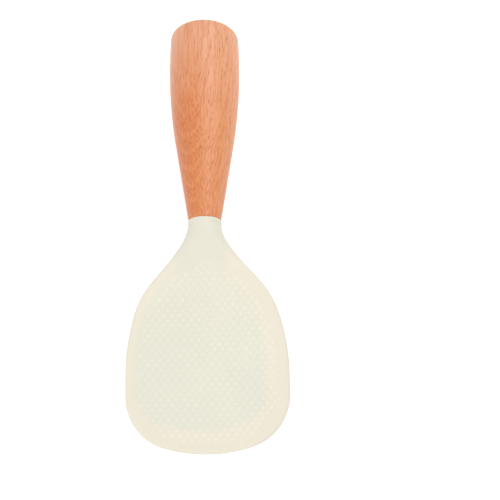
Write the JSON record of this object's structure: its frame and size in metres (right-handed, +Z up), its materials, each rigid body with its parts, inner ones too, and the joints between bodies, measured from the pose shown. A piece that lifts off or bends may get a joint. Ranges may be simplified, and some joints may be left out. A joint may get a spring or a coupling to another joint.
{
  "type": "rice paddle",
  "caption": "Kitchen paddle for cooked rice: turned wooden handle, dished silicone head with a dotted face, moulded over a stiff core.",
  "frame": {"origin": "on the table that the paddle rests on, midway between the tip of the head and the butt of the handle", "axes": "+Y from the tip of the head to the butt of the handle, +X across the head, +Z up, out of the hollow side"},
  "size_m": [0.075, 0.21, 0.0354],
  "materials": {
    "beech": "satin, fine straight grain with short dark flecks",
    "silicone": "smooth matte cream silicone with raised dots",
    "nylon": "matte moulded",
    "epoxy": "cured clear amber"
  },
  "bodies": {
    "root": {"handle": "beech", "head_skin": "silicone", "core": "nylon", "tang_adhesive": "epoxy"}
  },
  "joints": []
}
